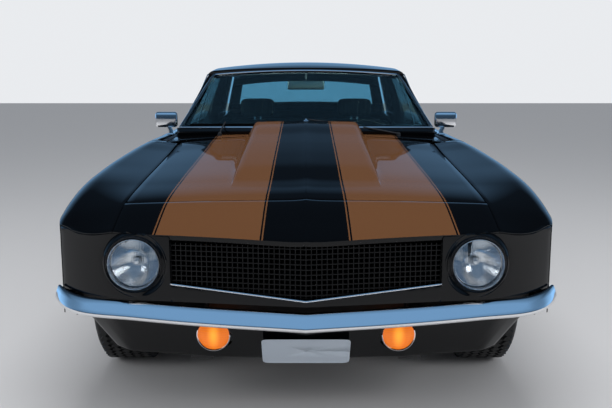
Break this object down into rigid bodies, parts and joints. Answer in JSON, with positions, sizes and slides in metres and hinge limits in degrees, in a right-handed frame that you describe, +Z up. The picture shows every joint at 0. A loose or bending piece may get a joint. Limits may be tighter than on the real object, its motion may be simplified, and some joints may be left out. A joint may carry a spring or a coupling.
{
  "type": "muscle car",
  "caption": "Two-door hardtop muscle car with a raised rear-opening hood scoop, hood stripes, chrome blade bumpers, opening doors and lids, steered front wheels and slotted steel wheels.",
  "frame": {"origin": "on the floor below the middle of the car", "axes": "+Y towards the rear, so the car faces -Y; +X towards its left side; +Z up"},
  "size_m": [1.8752, 4.73, 1.3234],
  "materials": {
    "paint": "gloss",
    "chrome": "polished",
    "grille_plastic": "satin",
    "lamp_glass": "glossy",
    "amber_lens": "glossy",
    "red_lens": "glossy",
    "tinted_glass": "glossy",
    "underbody": "satin",
    "black_trim": "matte",
    "black_vinyl": "satin",
    "engine_metal": "satin",
    "axle_steel": "matte",
    "exhaust_steel": "satin",
    "tank_steel": "satin",
    "plate_paint": "satin",
    "wheel_steel": "satin",
    "tyre": "matte"
  },
  "bodies": {
    "body": {"floor_pan": "underbody", "firewall": "underbody", "rear_floor": "underbody", "rockers": "paint", "front_fenders": "paint", "header_panel": "paint", "nose_panel": "paint", "cowl_panel": "paint", "quarter_panels": "paint", "roof": "paint", "tail_panel": "paint", "parcel_shelf": "paint", "front_bumper": "chrome", "rear_bumper": "chrome", "front_valance": "paint", "grille": "grille_plastic", "headlamps": "lamp_glass", "lamp_bezels": "chrome", "turn_lamps": "amber_lens", "tail_lamps": "red_lens", "windshield": "tinted_glass", "rear_window": "tinted_glass", "quarter_windows": "tinted_glass", "inner_fenders": "underbody", "rear_wheelhouses": "underbody", "dashboard": "black_trim", "front_seats": "black_vinyl", "rear_seat": "black_vinyl", "engine_block": "engine_metal", "radiator": "underbody", "front_subframe": "underbody", "rear_axle": "axle_steel", "driveline": "engine_metal", "exhaust": "exhaust_steel", "fuel_tank": "tank_steel", "cabin_mirror": "chrome", "licence_plate": "plate_paint"},
    "hood": {"hood": "paint"},
    "trunk_lid": {"trunk_lid": "paint"},
    "steering_wheel": {"steering_wheel": "black_trim"},
    "door_left": {"door_left": "paint", "door_glass_left": "tinted_glass", "door_mirror_left": "chrome"},
    "door_right": {"door_right": "paint", "door_glass_right": "tinted_glass", "door_mirror_right": "chrome"},
    "knuckle_left": {"knuckle_left": "axle_steel"},
    "knuckle_right": {"knuckle_right": "axle_steel"},
    "wheel_front_left": {"wheel_front_left": "wheel_steel", "tyre_front_left": "tyre"},
    "wheel_front_right": {"wheel_front_right": "wheel_steel", "tyre_front_right": "tyre"},
    "wheel_rear_left": {"wheel_rear_left": "wheel_steel", "tyre_rear_left": "tyre"},
    "wheel_rear_right": {"wheel_rear_right": "wheel_steel", "tyre_rear_right": "tyre"}
  },
  "joints": [
    {"name": "door_left_hinge", "type": "hinge", "parent": "body", "child": "door_left", "pos_m": [0.908, -0.733, 0.55], "axis": [0, 0, -1], "range_deg": [0, 65]},
    {"name": "door_right_hinge", "type": "hinge", "parent": "body", "child": "door_right", "pos_m": [-0.908, -0.733, 0.55], "axis": [0, 0, 1], "range_deg": [0, 65]},
    {"name": "hood_hinge", "type": "hinge", "parent": "body", "child": "hood", "pos_m": [0, -0.767, 1.004], "axis": [-1, 0, 0], "range_deg": [0, 48]},
    {"name": "trunk_hinge", "type": "hinge", "parent": "body", "child": "trunk_lid", "pos_m": [0, 1.686, 0.952], "axis": [1, 0, 0], "range_deg": [0, 62]},
    {"name": "steer_left", "type": "hinge", "parent": "body", "child": "knuckle_left", "pos_m": [0.7, -1.43, 0.331], "axis": [0, 0, 1], "range_deg": [-34, 34]},
    {"name": "steer_right", "type": "hinge", "parent": "body", "child": "knuckle_right", "pos_m": [-0.7, -1.43, 0.331], "axis": [0, 0, 1], "range_deg": [-34, 34]},
    {"name": "steering_wheel_turn", "type": "hinge", "parent": "body", "child": "steering_wheel", "pos_m": [0.35, -0.2451, 0.7875], "axis": [0, 0.9272, 0.3746], "range_deg": [-504, 504]},
    {"name": "wheel_front_left_spin", "type": "hinge", "parent": "knuckle_left", "child": "wheel_front_left", "pos_m": [0.757, -1.43, 0.331], "axis": [1, 0, 0], "continuous": true},
    {"name": "wheel_front_right_spin", "type": "hinge", "parent": "knuckle_right", "child": "wheel_front_right", "pos_m": [-0.757, -1.43, 0.331], "axis": [1, 0, 0], "continuous": true},
    {"name": "wheel_rear_left_spin", "type": "hinge", "parent": "body", "child": "wheel_rear_left", "pos_m": [0.7555, 1.313, 0.331], "axis": [1, 0, 0], "continuous": true},
    {"name": "wheel_rear_right_spin", "type": "hinge", "parent": "body", "child": "wheel_rear_right", "pos_m": [-0.7555, 1.313, 0.331], "axis": [1, 0, 0], "continuous": true}
  ],
  "couplings": [
    {"joint": "steer_right", "follows": "steer_left", "ratio": 1},
    {"joint": "steering_wheel_turn", "follows": "steer_left", "ratio": 14.8}
  ]
}
